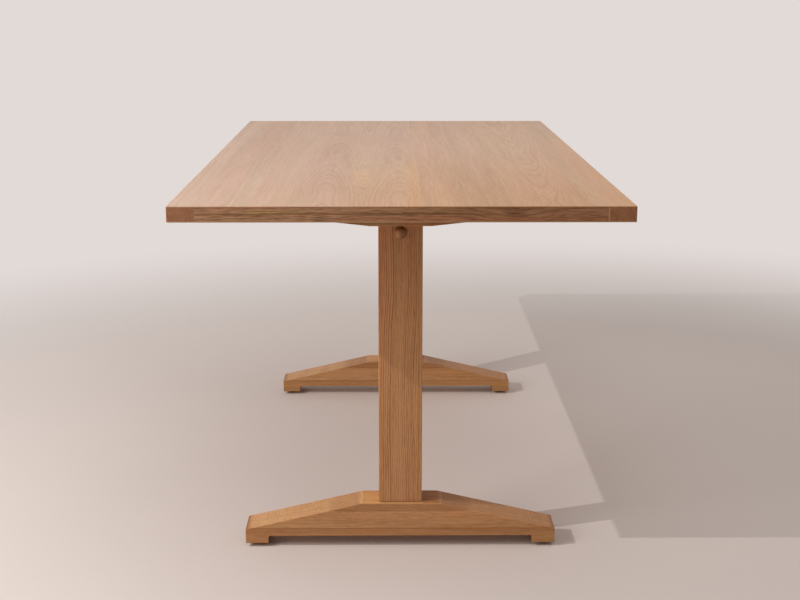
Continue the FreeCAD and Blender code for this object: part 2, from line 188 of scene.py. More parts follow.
def finish_surface(tree, colour, roughness, height, bump_depth, specular=0.5, metallic=0.0):
    """Ends a material in one Principled surface with a bump."""
    bump = tree.add("ShaderNodeBump")
    bump.inputs["Strength"].default_value = 1.0
    bump.inputs["Distance"].default_value = bump_depth
    tree.feed(bump.inputs["Height"], height)
    shader = tree.add("ShaderNodeBsdfPrincipled")
    shader.inputs["Specular IOR Level"].default_value = specular
    shader.inputs["Metallic"].default_value = metallic
    tree.feed(shader.inputs["Base Color"], colour)
    tree.feed(shader.inputs["Roughness"], roughness)
    tree.feed(shader.inputs["Normal"], bump.outputs["Normal"])
    output = tree.add("ShaderNodeOutputMaterial")
    tree.feed(output.inputs["Surface"], shader.outputs["BSDF"])


# ---------------------------------------------------------------------------------------------
# Oak
# ---------------------------------------------------------------------------------------------

# Which frame axes are a board's section and which its grain, by the grain's direction
BOARD_AXES = {"X": (1, 2, 0), "Y": (0, 2, 1), "Z": (0, 1, 2)}

OAK_INPUTS = {
    "Place": "NodeSocketVector",
    "Seed": "NodeSocketFloat",
    "Ring Width": "NodeSocketFloat",
    "Taper": "NodeSocketFloat",
    "Wander": "NodeSocketFloat",
    "Waviness": "NodeSocketFloat",
    "Pale": "NodeSocketColor",
    "Deep": "NodeSocketColor",
    "Rings": "NodeSocketFloat",
    "Bands": "NodeSocketFloat",
    "Fibres": "NodeSocketFloat",
    "Pores": "NodeSocketFloat",
    "Rays": "NodeSocketFloat",
    "Mottle": "NodeSocketFloat",
    "Tinting": "NodeSocketFloat",
    "End Grain": "NodeSocketFloat",
}
OAK_OUTPUTS = {"Colour": "NodeSocketColor", "Roughness": "NodeSocketFloat", "Height": "NodeSocketFloat"}

# How far each part of the figure is drawn out along the grain: the less, the longer it is
BULGE_STRETCH = 0.16
BAND_STRETCH = 0.03
FIBRE_STRETCH = 0.03
FIBRE_GROUP_STRETCH = 0.05
MOTTLE_STRETCH = 0.06
PORE_STRETCH = 0.05
RAY_STRETCH = 0.28
HUE_STRETCH = 0.06

GROWTH_UNEVENNESS = 4.0
WEAKEST_RING = 0.3
LATE_WOOD_PORES = 0.4
RAY_RADIUS = 0.15
RAY_RADIAL_STRETCH = 0.3
RAY_THINNING = 4.5
MIDDLE_DEPTH = 0.4
MEAN_RING = 0.3
OIL_ROUGHNESS = 0.56
PORE_TINT = (0.42, 0.30, 0.20)
RAY_TINT = (1.22, 1.18, 1.10)
PINK_TINT = (1.06, 0.97, 0.98)
OLIVE_TINT = (0.95, 1.02, 0.90)
END_GRAIN_TINT = (0.84, 0.76, 0.70)


def build_oak_group():
    """Solid oak in board space, where Z is the grain and the pith is the line X = Y = 0.

    Rings round the pith, grouped in darker and paler bands, cut by fibres, pores and rays. A face
    that runs with the rings shows arches, one that crosses them shows lines, and an end shows arcs.
    """
    group = bpy.data.node_groups.new("solid_oak", "ShaderNodeTree")
    for name, kind in OAK_INPUTS.items():
        group.interface.new_socket(name, in_out="INPUT", socket_type=kind)
    for name, kind in OAK_OUTPUTS.items():
        group.interface.new_socket(name, in_out="OUTPUT", socket_type=kind)
    tree = Tree(group)
    given = tree.add("NodeGroupInput").outputs
    seed, ring_width, taper = (Signal(tree, given[name]) for name in ("Seed", "Ring Width", "Taper"))
    wander, waviness = (Signal(tree, given[name]) for name in ("Wander", "Waviness"))
    ring_share, band_share = (Signal(tree, given[name]) for name in ("Rings", "Bands"))
    fibre_share, pore_share = (Signal(tree, given[name]) for name in ("Fibres", "Pores"))
    ray_share, mottle_share = (Signal(tree, given[name]) for name in ("Rays", "Mottle"))
    tinting, end_grain = (Signal(tree, given[name]) for name in ("Tinting", "End Grain"))
    x, y, along = tree.components(given["Place"])

    # The pith wanders along the board and the rings bulge here and there.
    drift_x = tree.noise(seed, 1.3, along, scale=2.2, detail=2.0)
    drift_y = tree.noise(seed, 7.9, along, scale=2.2, detail=2.0)
    bulge = tree.noise(x + seed, y, along * BULGE_STRETCH, scale=26.0, detail=3.0)
    section_x = x + drift_x * wander
    section_y = y + drift_y * wander
    radius = tree.math("SQRT", section_x * section_x + section_y * section_y)
    radius = radius + along * taper + bulge * waviness

    # Each ring starts with a dark, porous line and grows paler outwards.
    uneven_growth = tree.noise(radius, seed, 0.0, scale=70.0, detail=1.0)
    ring_count = radius / ring_width + uneven_growth * GROWTH_UNEVENNESS
    phase = tree.math("FRACT", ring_count)
    strength = tree.random(tree.math("FLOOR", ring_count) + seed)
    early_wood = tree.math("MAXIMUM", phase.ramp(0.0, 0.45, 1.0, 0.0), phase.ramp(0.92, 1.0))
    rings = early_wood * (strength * (1 - WEAKEST_RING) + WEAKEST_RING)
    bands = tree.noise(radius, seed + 4.7, along * BAND_STRETCH, scale=34.0, detail=5.0, roughness=0.68)

    # Fibres are long and thin, pores shorter, and rays lie across the rings.
    fine_fibres = tree.noise(x + seed, y, along * FIBRE_STRETCH, scale=430.0, detail=4.0, roughness=0.62)
    fibre_groups = tree.noise(
        x, y + seed, along * FIBRE_GROUP_STRETCH, scale=120.0, detail=3.0, roughness=0.6)
    fibres = fine_fibres * 0.8 + fibre_groups * 0.7
    mottle = tree.noise(x + seed, y, along * MOTTLE_STRETCH, scale=650.0, detail=3.0)
    pore_field = tree.noise(x, y + seed, along * PORE_STRETCH, scale=1500.0, detail=1.0)
    pores = pore_field.ramp(0.1, 0.19) * (early_wood * (1 - LATE_WOOD_PORES) + LATE_WOOD_PORES)
    around = tree.math("ARCTAN2", section_y, section_x) * RAY_RADIUS
    ray_field = tree.noise(
        radius * RAY_RADIAL_STRETCH, around * RAY_THINNING + seed, along * RAY_STRETCH,
        scale=260.0, detail=1.0)
    rays = ray_field.ramp(0.13, 0.2)

    # The depth says where the colour lies between the pale and the deep one.
    depth = MIDDLE_DEPTH + (rings - MEAN_RING) * ring_share + bands * band_share + fibres * fibre_share
    depth = depth + mottle * mottle_share
    depth = tree.math("MINIMUM", tree.math("MAXIMUM", depth, 0.0), 1.0)
    hue = tree.noise(x + seed, y, along * HUE_STRETCH, scale=18.0, detail=2.0)
    tint = tree.mix(hue.ramp(-0.16, 0.16), PINK_TINT, OLIVE_TINT)
    colour = tree.mix(depth, given["Pale"], given["Deep"])
    colour = tree.mix(tinting, colour, tint, blend="MULTIPLY")
    colour = tree.mix(pores * pore_share, colour, PORE_TINT, blend="MULTIPLY")
    colour = tree.mix(rays * ray_share, colour, RAY_TINT, blend="MULTIPLY")
    colour = tree.mix(end_grain, colour, END_GRAIN_TINT, blend="MULTIPLY")

    # Pores, fibres and end grain are rougher than the oiled wood, and rays are smoother.
    roughness = OIL_ROUGHNESS + pores * 0.16 - rays * 0.08 + fibres * 0.2 + end_grain * 0.1
    result = tree.add("NodeGroupOutput").inputs
    tree.feed(result["Colour"], colour)
    tree.feed(result["Roughness"], roughness)
    tree.feed(result["Height"], fibres * 0.35 - pores - rings * 0.25)
    return group


@dataclass
class Tone:
    """The two colours between which a board's figure moves, and how strongly each part of it shows."""
    pale: tuple
    deep: tuple
    rings: float = 0.5
    bands: float = 1.2
    fibres: float = 0.8
    pores: float = 0.4
    rays: float = 0.25
    mottle: float = 0.3
    tinting: float = 0.5


@dataclass
class Mark:
    """A stripe of another tint on a board: at centre on one frame axis, fading out at its sides.

    Where within is set, the stripe ends there, on the grain's axis or on within_axis.
    """
    axis: str
    centre: float
    half_width: float
    softness: float
    tint: tuple
    within: tuple = None
    within_axis: str = None
    within_softness: float = 0.03


@dataclass
class Knot:
    """A swirl in the grain: it pushes the rings aside round a point of the frame."""
    place: tuple
    radius: float
    push: float


@dataclass
class Board:
    """How one wooden piece is cut. The pith is given on the two frame axes across the grain.

    Where twin_spread is set, the figure has two rows of arches, that far to each side of the pith.
    """
    grain: str
    pith: tuple
    tone: Tone
    seed: float
    ring_width: float = 0.0022
    taper: float = 0.0
    wander: float = 0.01
    waviness: float = 0.004
    marks: list = field(default_factory=list)
    knots: list = field(default_factory=list)
    # The flag below pales the arrises: partly wear, partly a painted highlight.
    worn_and_highlit: bool = True
    # The flag below paints light on slopes that face the window lamp and upwards.
    painted_light: bool = False
    twin_spread: float = 0.0


# Between the two rows of arches lies a rounded valley, and one row runs ahead of the other.
TWIN_SHIFT = 0.8
TWIN_VALLEY_RADIUS = 0.012
KNOT_TINT = (0.55, 0.46, 0.40)
KNOT_DARKNESS = 0.7
KNOT_HEART = 0.3
KNOT_STRETCH = 0.5
MARK_WAVER = 2.0
# Paler arrises: partly wear, partly a painted highlight
WEAR_AND_HIGHLIGHT_TINT = (1.13, 1.10, 1.06)
MEAN_WEAR = 0.7
WEAR_PATCHINESS = 1.6
# Painted light on slopes that face the window lamp
PAINTED_LIGHT_TINT = (1.25, 1.31, 1.27)
OAK_BUMP_DEPTH = 0.00022
OAK_SPECULAR = 0.25

# Parts of a surface normal, from where an effect begins to where it is full
END_GRAIN_FACING = (0.8, 0.95)
WINDOW_FACING = (-0.1, -0.2)
UPWARD_FACING = (0.5, 0.8)
ARRIS_SQUARENESS = (0.95, 0.86)

oak_group = build_oak_group()


def oak_material(name, board):
    """The oak of one board, its knots and marks, and arrises paled by wear and a painted highlight."""
    material, tree = new_material("oak_" + name)
    place = tree.object_coordinates()
    normal = tree.object_normal()
    across, upward, along = BOARD_AXES[board.grain]
    end_grain = normal[along].absolute().ramp(*END_GRAIN_FACING)

    pushed = place[upward]
    for knot in board.knots:
        pushed = pushed + distance_to(tree, place, along, knot.place).ramp(0.0, knot.radius, knot.push, 0.0)

    sideways = place[across] - board.pith[0]
    lengthways = place[along]
    if board.twin_spread:
        lengthways = lengthways + sideways * TWIN_SHIFT
        sideways = tree.math("SQRT", sideways * sideways + TWIN_VALLEY_RADIUS ** 2) - board.twin_spread

    oak = tree.add("ShaderNodeGroup", node_tree=oak_group)
    section = tree.vector(sideways, pushed - board.pith[1], lengthways)
    tree.feed(oak.inputs["Place"], section)
    tree.feed(oak.inputs["End Grain"], end_grain)
    for socket_name, value in (
            ("Seed", board.seed), ("Ring Width", board.ring_width), ("Taper", board.taper),
            ("Wander", board.wander), ("Waviness", board.waviness),
            ("Pale", board.tone.pale), ("Deep", board.tone.deep), ("Rings", board.tone.rings),
            ("Bands", board.tone.bands), ("Fibres", board.tone.fibres),
            ("Pores", board.tone.pores), ("Rays", board.tone.rays),
            ("Mottle", board.tone.mottle), ("Tinting", board.tone.tinting)):
        tree.feed(oak.inputs[socket_name], value)

    colour = oak.outputs["Colour"]
    for mark in board.marks:
        colour = add_mark(tree, colour, place, along, board.seed, mark)
    for knot in board.knots:
        heart_radius = knot.radius * KNOT_HEART
        heart = distance_to(tree, place, along, knot.place).ramp(0.0, heart_radius, KNOT_DARKNESS, 0.0)
        colour = tree.mix(heart, colour, KNOT_TINT, blend="MULTIPLY")
    # Painted light: slopes that face the window lamp and upwards are lighter, as where its light falls.
    if board.painted_light:
        towards_window = normal[0].ramp(*WINDOW_FACING) * normal[2].ramp(*UPWARD_FACING)
        colour = tree.mix(towards_window, colour, PAINTED_LIGHT_TINT, blend="MULTIPLY")
    # Painted highlight on arrises, mixed with real wear of the oil.
    if board.worn_and_highlit:
        colour = tree.mix(edge_wear_and_highlight(tree, place, normal), colour, WEAR_AND_HIGHLIGHT_TINT, blend="MULTIPLY")
    finish_surface(tree, colour, oak.outputs["Roughness"], oak.outputs["Height"], OAK_BUMP_DEPTH,
                   OAK_SPECULAR)
    return material


def distance_to(tree, place, along, point):
    """The distance to a point, counted as shorter along the grain."""
    away = [coordinate - part for coordinate, part in zip(place, point)]
    away[along] = away[along] * KNOT_STRETCH
    return tree.math("SQRT", away[0] * away[0] + away[1] * away[1] + away[2] * away[2])


def edge_wear_and_highlight(tree, place, normal):
    """How pale an arris is, from worn oil and a painted highlight. On a flat or sloping face it is 0."""
    squareness = tree.math("MAXIMUM", normal[0].absolute(), normal[1].absolute())
    squareness = tree.math("MAXIMUM", squareness, normal[2].absolute())
    patches = tree.noise(*place, scale=22.0, detail=3.0)
    return squareness.ramp(*ARRIS_SQUARENESS) * (patches * WEAR_PATCHINESS + MEAN_WEAR)


def add_mark(tree, colour, place, along, seed, mark):
    """Tints a stripe. Its sides waver a little along the grain, as the fibres do."""
    position = place["XYZ".index(mark.axis)]
    if mark.axis != "XYZ"[along]:
        waver = tree.noise(place[along], seed, mark.centre, scale=9.0, detail=2.0)
        position = position + waver * mark.softness * MARK_WAVER
    share = position.near(mark.centre, mark.half_width, mark.softness)
    if mark.within:
        start, end = mark.within
        other = place["XYZ".index(mark.within_axis or "XYZ"[along])]
        share = share * other.near((start + end) / 2, (end - start) / 2, mark.within_softness)
    return tree.mix(share, colour, mark.tint, blend="MULTIPLY")


def dress(node_name, material):
    """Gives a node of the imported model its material."""
    slots = nodes[node_name].data.materials
    slots.clear()
    slots.append(material)


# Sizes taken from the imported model
TOP_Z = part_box("top_face_leaf_1")[1].z
BACK_Y = cad_high.y
FRONT_Y = cad_low.y
post_low, post_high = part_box("front_post")
foot_low, foot_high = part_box("front_foot_upper_block")
GLUE_LINE_Z = foot_low.z
FOOT_TOP_Z = foot_high.z
cap_low, cap_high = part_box("front_bolt_cap")

# Tones
FACE_TONE = Tone(
    pale=(0.674, 0.465, 0.344), deep=(0.429, 0.25, 0.156), rings=0.30, bands=1.0, fibres=0.42,
    mottle=0.25, tinting=0.3)
FACE_PINK = Tone(
    pale=(0.685, 0.465, 0.327), deep=(0.436, 0.251, 0.154), rings=0.30, bands=1.0, fibres=0.45,
    mottle=0.25, tinting=0.3)
FACE_WARM = Tone(
    pale=(0.692, 0.461, 0.318), deep=(0.424, 0.239, 0.135), rings=0.30, bands=1.1, fibres=0.5,
    mottle=0.25, tinting=0.3)
LIPPING_TONE = Tone(
    pale=(0.43, 0.228, 0.124), deep=(0.124, 0.052, 0.022), rings=0.45, bands=1.1, fibres=1.3,
    mottle=2.3, tinting=0.9)
LIPPING_LEFT_TONE = Tone(
    pale=(0.412, 0.203, 0.108), deep=(0.144, 0.053, 0.023), rings=0.4, bands=1.0, fibres=0.8, rays=0.5)
LIPPING_RIGHT_TONE = Tone(
    pale=(0.421, 0.219, 0.116), deep=(0.146, 0.057, 0.025), rings=0.7, bands=1.0, fibres=0.8, rays=0.5)
POST_TONE = Tone(
    pale=(0.533, 0.253, 0.116), deep=(0.268, 0.104, 0.04), rings=1.2, bands=0.9, fibres=1.2,
    mottle=1.1)
FOOT_TONE = Tone(
    pale=(0.577, 0.301, 0.138), deep=(0.308, 0.133, 0.051), rings=0.28, bands=1.1, fibres=1.1,
    mottle=0.9, tinting=0.3)
FOOT_BOARD_TONE = Tone(
    pale=(0.485, 0.246, 0.102), deep=(0.258, 0.111, 0.037), rings=0.35, bands=1.0, fibres=1.0,
    mottle=0.8)
CAP_TONE = Tone(
    pale=(0.46, 0.231, 0.116), deep=(0.25, 0.109, 0.046), rings=0.3, bands=0.8, fibres=0.8)
BACKING_TONE = Tone(
    pale=(0.58, 0.36, 0.22), deep=(0.36, 0.19, 0.10), rings=0.3, bands=1.0, fibres=0.8)
END_LINE_TINT = (0.70, 0.60, 0.52)

# The stretch along Y that holds the end grain of the long lippings at the front
FRONT_END_GRAIN = (-0.76, -0.70)


def warm_end(wide_tint, close_tint):
    """The two marks that make the face warmer towards its front end: painted sheen, weaker there."""
    return [
        Mark("Y", FRONT_Y, 0.15, 0.8, wide_tint),
        Mark("Y", FRONT_Y, 0.10, 0.25, close_tint),
    ]


def face_leaf_boards():
    """Five leaves of veneer. The second and the fourth are cut through arches."""
    boards = {
        "top_face_leaf_1": Board(
            "Y", (-1.1, TOP_Z - 0.55), FACE_TONE, seed=1.7, ring_width=0.0034, waviness=0.006,
            marks=[
                Mark("X", -0.3035, 0.022, 0.022, (0.95, 0.93, 0.92), within=(-0.25, BACK_Y),
                     within_softness=0.2),
                Mark("X", -0.378, 0.014, 0.02, (0.99, 1.02, 1.04)),
                # Painted sheen: paler towards the back end
                Mark("Y", BACK_Y, 0.3, 0.8, (1.03, 1.03, 1.04)),
            ]),
        "top_face_leaf_2": Board(
            "Y", (-0.070, TOP_Z - 0.05), FACE_TONE, seed=2.9, ring_width=0.0034, taper=0.038,
            wander=0.03, waviness=0.0035, twin_spread=0.071,
            marks=[
                Mark("X", -0.0745, 0.008, 0.016, (1.06, 1.03, 0.98), within=(-0.45, -0.29)),
                Mark("X", 0.0225, 0.011, 0.008, (1.03, 1.01, 0.94), within=(FRONT_Y, 0.15),
                     within_softness=0.2),
                Mark("X", 0.0225, 0.011, 0.008, (1.01, 1.0, 0.93), within=(FRONT_Y, -0.25),
                     within_softness=0.2),
                Mark("X", -0.14, 0.02, 0.03, (0.97, 0.94, 0.94), within=(-0.5, 0.1), within_softness=0.2),
                Mark("X", 0.0, 0.04, 0.12, (0.97, 0.93, 0.84), within=(FRONT_Y, -0.5), within_softness=0.5),
                Mark("X", -0.02, 0.055, 0.03, (1.035, 1.01, 0.985), within=(FRONT_Y, -0.3),
                     within_softness=0.3),
                # Painted sheen, weaker towards the front end
                Mark("Y", FRONT_Y, 0.10, 0.25, (0.985, 0.96, 0.92)),
            ]),
        "top_face_leaf_3": Board(
            "Y", (0.62, TOP_Z - 0.42), FACE_PINK, seed=4.1, ring_width=0.0034, waviness=0.012,
            marks=[
                Mark("X", 0.069, 0.03, 0.006, (1.01, 0.99, 0.98)),
                *warm_end((0.94, 0.86, 0.74), (0.98, 0.95, 0.89)),
                Mark("X", 0.15, 0.044, 0.012, (0.94, 0.92, 0.90), within=(FRONT_Y, -0.35),
                     within_softness=0.35),
            ]),
        "top_face_leaf_4": Board(
            "Y", (0.268, TOP_Z - 0.06), FACE_WARM, seed=5.3, ring_width=0.0036, taper=-0.032,
            wander=0.03, waviness=0.0045,
            marks=warm_end((0.96, 0.885, 0.775), (0.99, 0.965, 0.92))),
        "top_face_leaf_5": Board(
            "Y", (-0.25, TOP_Z - 0.5), FACE_WARM, seed=6.2, ring_width=0.0032, waviness=0.005,
            marks=[
                Mark("X", 0.39, 0.012, 0.03, (1.02, 0.98, 0.92), within=(FRONT_Y, 0.2),
                     within_softness=0.3),
                *warm_end((0.98, 0.935, 0.865), (1.0, 0.985, 0.95)),
                # Painted sheen: paler and cooler towards the back end
                Mark("Y", BACK_Y, 0.1, 0.9, (1.03, 1.05, 1.09)),
            ]),
    }
    for board in boards.values():
        board.marks += [Mark("Y", end_y, 0.0006, 0.0003, END_LINE_TINT) for end_y in (FRONT_Y, BACK_Y)]
    return boards


def lipping_boards():
    """The solid edges of the top, of a darker oak than the face. The end ones have a knot each."""
    return {
        "top_end_lipping_front": Board(
            "X", (-1.35, TOP_Z + 0.5), LIPPING_TONE, seed=11.1, ring_width=0.0042, waviness=0.02,
            wander=0.05,
            knots=[Knot((0.197, -0.752, 0.699), 0.055, 0.012)],
            marks=[
                # Painted shade: the front edge darker towards its right end, where less light falls, and
                # along its upper arris there.
                Mark("X", 0.31, 0.21, 0.26, (0.79, 0.73, 0.64)),
                Mark("Z", 0.7115, 0.0014, 0.0022, (0.84, 0.74, 0.64), within=(0.10, 0.40),
                     within_softness=0.2),
                Mark("Z", 0.7108, 0.0010, 0.0022, (0.86, 0.78, 0.71)),
                Mark("Z", 0.6846, 0.0006, 0.0018, (0.82, 0.76, 0.72)),
                Mark("Z", 0.6985, 0.0006, 0.0022, (0.66, 0.58, 0.50), within=(-0.35, 0.10),
                     within_softness=0.1),
                Mark("Z", 0.7015, 0.003, 0.004, (1.02, 1.12, 0.95), within=(-0.257, -0.188)),
                Mark("Z", 0.6905, 0.0015, 0.0025, (1.08, 0.97, 0.90), within=(-0.1, 0.36)),
                Mark("X", 0.3566, 0.0005, 0.0007, (1.8, 1.85, 1.8)),
            ]),
        "top_end_lipping_back": Board(
            "X", (1.32, TOP_Z - 0.45), LIPPING_TONE, seed=12.4, ring_width=0.0042, waviness=0.02,
            wander=0.05,
            knots=[Knot((0.11, 0.752, 0.701), 0.04, 0.008)]),
        "top_long_lipping_left": Board(
            "Y", (-0.62, TOP_Z - 0.10), LIPPING_LEFT_TONE, seed=13.2, ring_width=0.0036, waviness=0.004),
        "top_long_lipping_right": Board(
            "Y", (0.348, TOP_Z - 0.035), LIPPING_RIGHT_TONE, seed=14.8, ring_width=0.0032, waviness=0.002,
            wander=0.003,
            marks=[
                Mark("X", 0.385, 0.024, 0.01, (0.95, 0.88, 0.80), within=FRONT_END_GRAIN),
                Mark("X", 0.3574, 0.0004, 0.0006, (1.6, 1.8, 1.9), within=FRONT_END_GRAIN),
            ]),
    }


def frame_boards():
    """Posts, feet, bearers and the rail, with the back trestle cut from other boards."""
    post_marks = [
        Mark("X", -0.0335, 0.0006, 0.0018, (1.12, 0.98, 0.80)),
        Mark("X", 0.0355, 0.0008, 0.0016, (0.86, 0.88, 0.70)),
        Mark("Z", FOOT_TOP_Z, 0.0006, 0.0012, (0.55, 0.46, 0.40)),
    ]
    foot_top = (FOOT_TOP_Z - 0.0004, FOOT_TOP_Z + 0.001)
    block_marks = [
        Mark("Z", GLUE_LINE_Z, 0.0004, 0.0014, (0.80, 0.70, 0.62)),
        Mark("Z", 0.0745, 0.0004, 0.0012, (0.84, 0.78, 0.72), within=(-0.11, 0.11)),
        Mark("Z", 0.0815, 0.0065, 0.0015, (0.80, 0.74, 0.69), within=(-0.12, 0.12), within_softness=0.03),
        # Painted highlight along the upper front arris of the foot
        Mark("Z", 0.0912, 0.0006, 0.0008, (1.14, 1.16, 1.12)),
        Mark("Z", 0.064, 0.005, 0.01, (1.04, 1.03, 1.02)),
        Mark("X", 0.22, 0.12, 0.06, (1.0, 0.975, 0.93)),
        # Painted light and shade on the flat top of the foot: lighter left of the post, where light falls,
        # and the post's painted shadow to its right.
        Mark("X", -0.055, 0.012, 0.010, (1.22, 1.22, 1.03), within=foot_top, within_axis="Z",
             within_softness=0.0006),
        Mark("X", 0.062, 0.014, 0.010, (0.73, 0.60, 0.45), within=foot_top, within_axis="Z",
             within_softness=0.0006),
    ]
    board_marks = [
        Mark("Z", GLUE_LINE_Z, 0.0004, 0.0012, (0.84, 0.74, 0.68)),
        # Painted highlight along the lower arris, as if lit from the floor
        Mark("Z", 0.0245, 0.0010, 0.0012, (1.14, 1.10, 1.04)),
    ]
    # Painted shade and light on the bolt cap: darker on its top, in the shade under the bearer, and on its
    # right side, and lighter on its lower left, where light reaches it.
    cap_painted_light_marks = [
        Mark("Z", cap_high.z, 0.004, 0.005, (0.66, 0.58, 0.42)),
        Mark("X", cap_high.x, 0.008, 0.008, (0.72, 0.66, 0.60)),
        Mark("X", cap_low.x, 0.006, 0.006, (1.35, 1.35, 1.35), within=(cap_low.z, cap_high.z - 0.010),
             within_softness=0.004, within_axis="Z"),
    ]
    # Painted light on the bearers: a highlight along the lower front arris above the post, and painted
    # shade on the front under the top, deepest on the right.
    bearer_painted_light_marks = [
        Mark("Z", 0.6424, 0.0008, 0.0006, (1.35, 1.3, 1.2), within=(-0.05, 0.05)),
        Mark("X", -0.15, 0.13, 0.04, (0.90, 0.94, 0.97)),
        Mark("X", 0.15, 0.13, 0.04, (0.86, 0.80, 0.75)),
    ]

    boards = {}
    trestle_y = -(post_low.y + post_high.y) / 2
    for end, way, seed in (("front", -1.0, 20.0), ("back", 1.0, 40.0)):
        middle_y = way * trestle_y
        boards[end + "_post"] = Board(
            "Z", (-0.30, middle_y + 0.10 * way), POST_TONE, seed=seed + 1.3, ring_width=0.0036,
            waviness=0.010, wander=0.05, marks=post_marks)
        # The feet's upper blocks get painted light on their slopes towards the window lamp.
        boards[end + "_foot_upper_block"] = Board(
            "X", (middle_y + 0.01, -0.75), FOOT_TONE, seed=seed + 2.6, ring_width=0.0015,
            waviness=0.0022, wander=0.003, marks=block_marks, painted_light=True)
        boards[end + "_foot_lower_board"] = Board(
            "X", (middle_y - 0.03, 0.28), FOOT_BOARD_TONE, seed=seed + 3.9, ring_width=0.0022,
            waviness=0.003, marks=board_marks)
        boards[end + "_bearer"] = Board(
            "X", (middle_y + 0.04, 0.50), FOOT_TONE, seed=seed + 4.2, ring_width=0.0022,
            waviness=0.004, marks=bearer_painted_light_marks)
        boards[end + "_bolt_cap"] = Board(
            "Z", (0.03, middle_y - 0.1), CAP_TONE, seed=seed + 5.5, ring_width=0.0016, worn_and_highlit=False,
            marks=cap_painted_light_marks)
    boards["stretcher_rail"] = Board(
        "Y", (0.09, 0.49), FOOT_TONE, seed=61.0, ring_width=0.0022, waviness=0.004)
    return boards


def hidden_boards():
    """The wood that only a look from below or inside shows."""
    return {
        "top_backing_veneer": Board(
            "Y", (0.05, 0.52), BACKING_TONE, seed=71.0, ring_width=0.004, taper=-0.03, wander=0.04),
        "top_core_panel": Board(
            "Y", (0.3, 0.2), BACKING_TONE, seed=72.0, ring_width=0.004),
        "rail_dowels": Board(
            "Y", (0.1, 0.5), BACKING_TONE, seed=73.0, ring_width=0.0016),
    }


for boards in (face_leaf_boards(), lipping_boards(), frame_boards(), hidden_boards()):
    for node_name, board in boards.items():
        dress(node_name, oak_material(node_name, board))


# ---------------------------------------------------------------------------------------------
# Metal and plastic
# ---------------------------------------------------------------------------------------------

ZINC_COLOURS = ((0.46, 0.46, 0.45), (0.66, 0.66, 0.64))
PLASTIC_COLOURS = ((0.016, 0.015, 0.014), (0.034, 0.031, 0.029))


def zinc_material():
    """Zinc-plated steel: grey, a little cloudy, with fine scratches."""
    material, tree = new_material("zinc_plated_steel")
    x, y, z = tree.object_coordinates()
    cloud = tree.noise(x, y, z, scale=260.0, detail=3.0)
    scratch = tree.noise(x, y, z * 8.0, scale=900.0, detail=2.0)
    colour = tree.mix(cloud + 0.5, *ZINC_COLOURS)
    finish_surface(tree, colour, 0.34 + cloud * 0.2 + scratch * 0.25, scratch, bump_depth=0.00002,
                   metallic=1.0)
    return material


def plastic_material():
    """Moulded black plastic with a fine spark-eroded grain."""
    material, tree = new_material("moulded_plastic")
    x, y, z = tree.object_coordinates()
    grain = tree.noise(x, y, z, scale=2600.0, detail=1.0)
    scuff = tree.noise(x, y, z, scale=220.0, detail=3.0)
    colour = tree.mix(scuff + 0.5, *PLASTIC_COLOURS)
    finish_surface(tree, colour, 0.5 + scuff * 0.3, grain, bump_depth=0.00006)
    return material


zinc = zinc_material()
plastic = plastic_material()
STEEL_NODES = ("rail_bolts", "rail_bolt_washers", "rail_barrel_nuts", "bearer_screws",
               "bearer_screw_washers", "top_inserts", "glide_inserts")
GLIDES = ("front_left", "front_right", "back_left", "back_right")
for node_name in STEEL_NODES:
    dress(node_name, zinc)
for glide in GLIDES:
    dress("glide_base_" + glide, plastic)
    dress("glide_stud_" + glide, zinc)


# ---------------------------------------------------------------------------------------------
# Threaded studs of the glides
# ---------------------------------------------------------------------------------------------

THREAD_PITCH = 0.00125
THREAD_DEPTH = 0.000677
# One pitch of the thread: how far up it each point lies, in pitches, and how deep it is cut
THREAD_PROFILE = ((0.0, 1.0), (0.25, 1.0), (0.5625, 0.0), (0.6875, 0.0))
THREAD_SEGMENTS = 48
# The strip of thread starts below its flat end and runs on past the other, and both are cut off.
THREAD_LEAD_IN = 1.5
THREAD_SPARE_TURNS = 3
STUD_RADIUS = 0.004
STUD_TOP_CHAMFER = 0.0008
STUD_TOP_Z = 0.03
HEX_SIDES = 6
HEX_CORNER_RADIUS = 0.0075056
HEX_LOW_Z = 0.0043
HEX_HIGH_Z = 0.0072
HEX_CHAMFER = 0.0003
COLLAR_RADIUS = 0.006
COLLAR_LOW_Z = 0.00145
COLLAR_CHAMFER = 0.0002
HIDDEN_OVERLAP = 0.0002
SHARP_ANGLE = math.radians(24)


def add_rings(mesh, sides, rings):
    """Adds a closed form about the Z axis, through rings of (radius, height) from low to high."""
    loops = []
    for radius, z in rings:
        angles = [2 * math.pi * i / sides for i in range(sides)]
        loops.append([mesh.verts.new((radius * math.cos(a), radius * math.sin(a), z)) for a in angles])
    for lower, upper in zip(loops, loops[1:]):
        for i in range(sides):
            j = (i + 1) % sides
            mesh.faces.new((lower[i], lower[j], upper[j], upper[i]))
    mesh.faces.new(reversed(loops[0]))
    mesh.faces.new(loops[-1])


